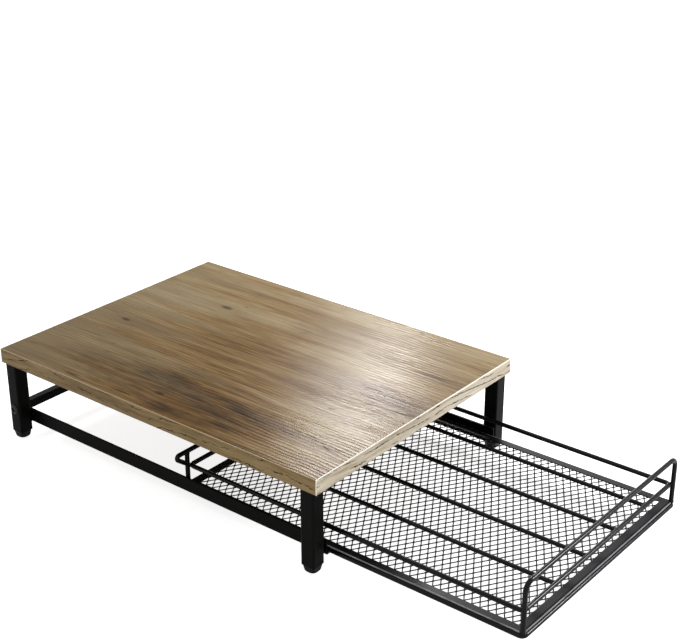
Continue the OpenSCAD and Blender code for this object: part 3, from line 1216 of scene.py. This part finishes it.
@dataclass
class WeldBead:
    """One lump of weld metal under the coat."""

    centre: Point
    half_size: Point
    seed: float
    # The lump's unevenness: its grain, and its height as a share of the size
    grain: float = 1.7
    unevenness: float = 0.16

    @staticmethod
    def join(beads: Iterable[WeldBead]) -> bmesh.types.BMesh:
        """Pour beads into one mesh.

        Args:
            beads: the beads.

        Returns:
            The mesh.
        """
        form = bmesh.new()
        for bead in beads:
            bead._pour(form)
        return form

    def _pour(self, form: bmesh.types.BMesh) -> None:
        """Add the lump to a mesh.

        Args:
            form: the mesh that it is added to.
        """
        made = bmesh.ops.create_icosphere(form, subdivisions=3, radius=1.0)
        for vert in made["verts"]:
            lump = noise.noise(vert.co * self.grain + Vector((self.seed, 0.0, 0.0)))
            vert.co *= 1.0 + self.unevenness * lump
            vert.co = Vector(self.centre) + vert.co * Vector(self.half_size)


@dataclass
class Stand:
    """The tube legs with their feet and tabs, the slide rails and the rear crossbar."""

    corners: tuple[str, ...] = ("front_left", "front_right", "rear_left", "rear_right")
    tab_arris: float = 0.2 * MM
    pad_arris: float = 0.25 * MM
    # The beads along a pad's edge: their number, their half size and the share of the tab's length
    beads_per_edge: int = 5
    bead: Point = (1.25 * MM, 1.35 * MM, 0.75 * MM)
    bead_run: float = 0.9
    bolt_sharp: float = math.radians(35)

    def dress(self, shop: Workshop) -> None:
        """Finish the stand's nodes.

        Args:
            shop: the workshop.
        """
        shop.dress([f"leg_{corner}" for corner in self.corners], Slot.FRAME)
        shop.dress([f"leg_tab_{corner}" for corner in self.corners], Slot.FRAME, self.tab_arris)
        shop.dress([f"foot_{corner}" for corner in self.corners], Slot.FOOT)
        shop.dress(["rail_left", "rail_right"], Slot.FRAME)
        shop.dress(["rail_pads_left", "rail_pads_right"], Slot.FRAME, self.pad_arris)
        shop.dress(["rear_crossbar"], Slot.FRAME)
        shop.dress(["tab_screws", "crossbar_insert_left", "crossbar_insert_right"], Slot.ZINC)
        shop.dress(["crossbar_bolt_left", "crossbar_bolt_right"], Slot.BOLT)

    def build(self, shop: Workshop) -> None:
        """Add the bolts and the weld beads.

        Args:
            shop: the workshop.
        """
        bar = Span.of("rear_crossbar").middle
        for name, side in (("left", -1), ("right", 1)):
            form = CrossbarBolt.of(f"crossbar_bolt_{name}").form(bar.y, bar.z, side)
            bolt = shop.add(f"button_bolt_{name}", form, Body.STAND, Slot.BOLT)
            bolt.data.set_sharp_from_angle(angle=self.bolt_sharp)
            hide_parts(f"crossbar_bolt_{name}")
        shop.add("weld_beads_stand", WeldBead.join(self._pad_beads()), Body.STAND, Slot.FRAME)

    def _pad_beads(self) -> Iterable[WeldBead]:
        """Give the beads along the pads' upper and lower edges, in short lumps.

        Yields:
            Each bead.
        """
        for side in ("left", "right"):
            pads = Span.of(f"rail_pads_{side}")
            for end in ("front", "rear"):
                tab = Span.of(f"leg_tab_{end}_{side}")
                for z in (pads.low.z, pads.high.z):
                    for index in range(self.beads_per_edge):
                        share = (index + 0.5) / self.beads_per_edge - 0.5
                        y = tab.middle.y + share * tab.size.y * self.bead_run
                        yield WeldBead((pads.middle.x, y, z), self.bead, index + y * 90 + z * 300)


@dataclass
class MeshFloor:
    """The drawer's floor: flattened expanded metal, whose waved strands meet in rows of knots."""

    half_x: float
    half_y: float
    middle_y: float
    top_z: float
    chamfer: float = 3.4 * MM
    diamond_w: float = 12.4 * MM
    diamond_l: float = 7.9 * MM
    strand_w: float = 0.95 * MM
    strand_t: float = 0.9 * MM
    # The wave: a knot's share of it, the distance of the strands' middles in a knot as a share of their
    # width, the part of its run that is straight, and the step that its slope is read over
    knot_share: float = 0.16
    knot_nesting: float = 0.84
    straight: float = 0.62
    slope_step: float = 0.01
    # Where a strand's sections stand in each half wave
    section_shares: tuple[float, ...] = (0.0, 0.1, 0.2, 0.5, 0.8, 0.9)
    # The section: its tilt in degrees, how fast that grows with the slope, the share of the thickness
    # left by the flattening, and its middle's depth in thicknesses
    twist: float = 20.0
    twist_rate: float = 1.4
    flattened: float = 0.86
    depth: float = 0.72

    @classmethod
    def inside(cls, node: str) -> MeshFloor:
        """Size the floor to a layer of the CAD model's strands."""
        span = Span.of(node)
        return cls(span.high.x, span.size.y / 2, span.middle.y, span.high.z)

    def build(self, shop: Workshop) -> None:
        """Add the floor in place of the two layers of strands.

        Args:
            shop: the workshop.
        """
        form = bmesh.new()
        pitch = self.diamond_l / 2
        swing = (pitch - self.strand_w * self.knot_nesting) / 2
        rows = int((self.half_y - self.strand_w / 2 - swing) / pitch + 0.5)
        for row in range(-rows, rows):
            self._strand(form, (row + 0.5) * pitch, swing, 1 if row % 2 == 0 else -1)
        floor = shop.add("mesh_floor", form, Body.DRAWER, Slot.MESH, smooth=False)
        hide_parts("mesh_lower_strands", "mesh_upper_strands")

    def _wave(self, along: float) -> float:
        """Give the wave that a strand follows: level in the knots, straight between them.

        Args:
            along: the place in half waves.

        Returns:
            The swing, from -1 to 1.
        """
        turn = abs((along % 2) - 1)
        share = min(1.0, max(0.0, (turn - self.knot_share / 2) / (1 - self.knot_share)))
        ease = share * share * (3 - 2 * share)
        return 2 * (self.straight * share + (1 - self.straight) * ease) - 1

    def _strand(self, form: bmesh.types.BMesh, level: float, swing: float, sign: int) -> None:
        """Add one waved strand along X.

        Args:
            form: the mesh.
            level: its middle, measured from the drawer's middle.
            swing: how far its wave goes to each side.
            sign: the wave's direction, which alternates from row to row.
        """
        reach = self.half_x - max(0.0, abs(level) + swing + self.strand_w / 2 - (self.half_y - self.chamfer))
        half_wave = self.diamond_w / 2
        stations = [-reach]
        first = math.ceil(-reach / half_wave)
        for knot in range(first - 1, -first + 1):
            for share in self.section_shares:
                x = (knot + share) * half_wave
                if -reach < x < reach:
                    stations.append(x)
        stations.append(reach)
        rings = []
        for x in stations:
            before = self._wave(x / half_wave - self.slope_step)
            after = self._wave(x / half_wave + self.slope_step)
            slope = -sign * swing * (after - before) / (2 * self.slope_step * half_wave)
            y = level - sign * swing * self._wave(x / half_wave)
            rings.append(self._section(form, x, self.middle_y + y, slope))
        for low, high in zip(rings, rings[1:]):
            for index in range(4):
                beside = (index + 1) % 4
                form.faces.new((low[index], high[index], high[beside], low[beside]))
        form.faces.new(rings[0])
        form.faces.new(list(reversed(rings[-1])))

    def _section(self, form: bmesh.types.BMesh, x: float, y: float, slope: float) -> Ring:
        """Add a strand's section, square to its run and tilted as far as it slopes.

        Args:
            form: the mesh.
            x: the place across the drawer.
            y: the place along the drawer.
            slope: the strand's slope there.

        Returns:
            The section's four vertices.
        """
        run = math.hypot(1.0, slope)
        across = Vector((-slope / run, 1 / run, 0.0))
        tilt = math.radians(self.twist) * max(-1.0, min(1.0, slope * self.twist_rate))
        wide = across * math.cos(tilt) + Vector((0.0, 0.0, math.sin(tilt)))
        high = Vector((0.0, 0.0, math.cos(tilt))) - across * math.sin(tilt)
        middle = Vector((x, y, self.top_z - self.strand_t * self.depth))
        half_w, half_t = self.strand_w / 2, self.strand_t / 2 * self.flattened
        corners = ((-1, -1), (1, -1), (1, 1), (-1, 1))
        return [form.verts.new(middle + wide * (half_w * a) + high * (half_t * b)) for a, b in corners]


@dataclass
class WireDrawer:
    """The drawer's wires and strips, with the weld beads that join them."""

    lanes: tuple[str, ...] = ("lane_wire_1", "lane_wire_2", "lane_wire_3", "lane_wire_4")
    wires: tuple[str, ...] = ("base_loop", "mid_loop", "front_hoop", "stop_wire")
    posts: tuple[str, ...] = ("rear_post_left", "rear_post_right")
    strips: tuple[str, ...] = ("rim_strip_front", "rim_strip_rear", "rim_strip_left", "rim_strip_right")
    strip_arris: float = 0.45 * MM
    # Half sizes of the beads: at a lane wire's end, at a post's foot, where it touches the mid loop, at a
    # rear post's head and under the stop wire's ear
    lane_bead: Point = (3.3 * MM, 1.7 * MM, 1.75 * MM)
    foot_bead: Point = (2.85 * MM, 2.85 * MM, 1.1 * MM)
    waist_bead: Point = (1.7 * MM, 1.7 * MM, 2.2 * MM)
    head_bead: Point = (2.7 * MM, 2.5 * MM, 1.0 * MM)
    ear_bead: Point = (1.1 * MM, 2.5 * MM, 2.9 * MM)
    # How far a bead's middle lies beyond the mid loop's inner face, and from a post's middle at its waist
    # and at its ear
    lane_inset: float = 0.2 * MM
    waist_offset: float = 1.6 * MM
    ear_offset: float = 2.5 * MM

    def dress(self, shop: Workshop) -> None:
        """Finish the drawer's nodes.

        Args:
            shop: the workshop.
        """
        # The strips' coat paints a highlight along their outer top arris
        highlit_span = Span.of(*self.strips)
        coat = PowderCoat("strip_coat", (0.0045, 0.0045, 0.0056), 0.28, specular=0.11, highlit_span=highlit_span)
        shop.dress(self.strips, Slot.DRAWER_WIRE, self.strip_arris, coat.material())
        shop.dress(self.wires + self.posts + self.lanes, Slot.DRAWER_WIRE)
        shop.dress(["mesh_lower_strands", "mesh_upper_strands"], Slot.MESH)

    def build(self, shop: Workshop) -> None:
        """Add the weld beads.

        Args:
            shop: the workshop.
        """
        shop.add("weld_beads_drawer", WeldBead.join(self._beads()), Body.DRAWER, Slot.DRAWER_WIRE)

    def _beads(self) -> Iterable[WeldBead]:
        """Give each bead on the drawer.

        Yields:
            Each bead.
        """
        mid, hoop, stop = (Span.of(name) for name in ("mid_loop", "front_hoop", "stop_wire"))
        for index, lane in enumerate(self.lanes):
            for end, y in ((1, mid.low.y), (-1, mid.high.y)):
                centre = (Span.of(lane).middle.x, y + end * (mid.size.z + self.lane_inset), mid.middle.z)
                yield WeldBead(centre, self.lane_bead, index * 3.1 + end)
        strip_top = Span.of(self.strips[0]).high.z
        for name, side in zip(self.posts, (-1, 1)):
            post = Span.of(name).middle
            for end, y in ((1, hoop.middle.y), (-1, post.y)):
                yield WeldBead((post.x, y, strip_top), self.foot_bead, side * 5 + end)
                waist = (post.x - side * self.waist_offset, y + end * self.waist_offset, mid.middle.z)
                yield WeldBead(waist, self.waist_bead, side * 9 + end * 2)
            head = (post.x, post.y, stop.high.z - stop.size.y)
            yield WeldBead(head, self.head_bead, side * 4.0)
            ear = (post.x + side * self.ear_offset, post.y, stop.low.z + self.ear_bead[2])
            yield WeldBead(ear, self.ear_bead, side * 7.0)


@dataclass(frozen=True)
class Lamp:
    """A soft lamp: its place, the point that it faces, its width and height, and its power in watts."""

    name: str
    place: Point
    aim: Point
    size: tuple[float, float]
    power: float

    def hang(self) -> None:
        """Add the lamp to the scene."""
        data = bpy.data.lights.new(self.name, "AREA")
        data.shape = "RECTANGLE"
        data.size, data.size_y = self.size
        data.energy = self.power
        lamp = bpy.data.objects.new(self.name, data)
        lamp.location = self.place
        lamp.rotation_euler = (Vector(self.aim) - Vector(self.place)).to_track_quat("-Z", "Y").to_euler()
        bpy.context.scene.collection.objects.link(lamp)
        LOG.info("hung the %s lamp", self.name)


@dataclass
class Studio:
    """The floor, the lamps, the world and the camera."""

    floor_r: float = 14.0
    floor_sides: int = 96
    floor_drop: float = 0.1 * MM
    paper: Colour = (0.86, 0.86, 0.86)
    white: Colour = (1.0, 1.0, 1.0)
    # The floor's own light, as the eye and as a gloss sees it, and the world's light on the object
    floor_lift: float = 0.80
    mirror_lift: float = 0.18
    fill: float = 0.46
    lamps: tuple[Lamp, ...] = (
        Lamp("key", (1.25, -1.30, 1.00), (0.0, -0.10, 0.05), (0.38, 0.32), 30.0),
        Lamp("near_sheen", (0.797, 0.666, 0.764), (-0.107, -0.084, 0.098), (0.10, 0.10), 2.8),
        Lamp("far_sheen", (0.956, 0.660, 0.721), (0.0, -0.062, 0.098), (0.10, 0.10), 3.4),
        Lamp("veil", (1.050, 0.500, 0.700), (0.0, -0.05, 0.098), (0.62, 0.70), 2.4),
        Lamp("top", (-0.20, 0.10, 1.90), (0.0, 0.05, 0.05), (1.5, 1.5), 2.0),
    )
    # The camera: its lens and sensor in millimetres, its angles in degrees, its place and how far it sees
    lens: float = 75.028
    sensor: float = 36.0
    azimuth: float = -50.976
    elevation: float = 24.316
    roll: float = -0.134
    eye: Point = (-0.931096, -0.766748, 0.704918)
    sight: float = 60.0

    def build(self) -> None:
        """Set up everything round the object."""
        self._floor()
        self._world()
        for lamp in self.lamps:
            lamp.hang()
        self._camera()
        bpy.context.scene.view_settings.view_transform = "Standard"

    def _floor(self) -> None:
        """Lay the pale floor, which shows white to the eye and keeps the object's shadow."""
        form = bmesh.new()
        bmesh.ops.create_circle(form, cap_ends=True, radius=self.floor_r, segments=self.floor_sides)
        mesh = bpy.data.meshes.new("studio_floor")
        form.to_mesh(mesh)
        form.free()
        floor = bpy.data.objects.new("studio_floor", mesh)
        floor.location.z = -self.floor_drop
        bpy.context.scene.collection.objects.link(floor)
        graph = Graph.named("floor_paper")
        camera, mirrored = self._seen(graph)
        lift = camera * self.floor_lift + mirrored * self.mirror_lift
        paper = graph.raw("ShaderNodeBsdfDiffuse", None, {"Color": self.paper})
        glow = graph.raw("ShaderNodeEmission", None, {"Color": self.white, "Strength": lift})
        both = graph.raw("ShaderNodeAddShader", None, {0: paper.outputs[0], 1: glow.outputs[0]})
        graph.raw("ShaderNodeOutputMaterial", None, {"Surface": both.outputs[0]})
        mesh.materials.append(graph.owner)
        LOG.info("laid the floor")

    def _world(self) -> None:
        """Light the scene evenly, and show white behind it."""
        world = bpy.data.worlds.new("studio_world")
        bpy.context.scene.world = world
        graph = Graph(world)
        camera, mirrored = self._seen(graph)
        strength = (camera + mirrored).maths("MINIMUM", 1.0).blend(self.fill, 1.0)
        sky = graph.raw("ShaderNodeBackground", None, {"Color": self.white, "Strength": strength})
        graph.raw("ShaderNodeOutputWorld", None, {"Surface": sky.outputs[0]})

    @staticmethod
    def _seen(graph: Graph) -> tuple[Signal, Signal]:
        """Tell whether a ray shows the surroundings: straight, or in a gloss or through glass.

        Args:
            graph: the graph of the floor or the world.

        Returns:
            Two values, each 1 for such a ray and 0 for any other.
        """
        path = graph.raw("ShaderNodeLightPath")
        names = ("Is Camera Ray", "Is Glossy Ray", "Is Transmission Ray")
        camera, glossy, clear = (Signal(graph, path.outputs[name]) for name in names)
        return camera, (glossy + clear).maths("MINIMUM", 1.0)

    def _camera(self) -> None:
        """Place the camera."""
        turn, rise, roll = (math.radians(angle) for angle in (self.azimuth, self.elevation, self.roll))
        back = Vector((math.sin(turn) * math.cos(rise), -math.cos(turn) * math.cos(rise), math.sin(rise)))
        right = Vector((math.cos(turn), math.sin(turn), 0.0))
        up = back.cross(right)
        right, up = (
            right * math.cos(roll) + up * math.sin(roll),
            up * math.cos(roll) - right * math.sin(roll),
        )
        data = bpy.data.cameras.new("camera")
        data.sensor_width = self.sensor
        data.lens = self.lens
        data.clip_end = self.sight
        camera = bpy.data.objects.new("camera", data)
        axes = Matrix((right, up, back)).transposed().to_4x4()
        camera.matrix_world = Matrix.Translation(self.eye) @ axes
        bpy.context.scene.collection.objects.link(camera)
        bpy.context.scene.camera = camera
        LOG.info("placed the camera")


def main() -> None:
    """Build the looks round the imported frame."""
    logging.basicConfig(level=logging.INFO, format="%(name)s: %(message)s")
    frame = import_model()
    finishes = Finishes()
    finishes.mix()
    shop = Workshop(frame, finishes)
    WoodenTop().dress(shop)
    stand = Stand()
    stand.dress(shop)
    stand.build(shop)
    drawer = WireDrawer()
    drawer.dress(shop)
    drawer.build(shop)
    MeshFloor.inside("mesh_upper_strands").build(shop)
    Studio().build()


if __name__ == "__main__":
    main()
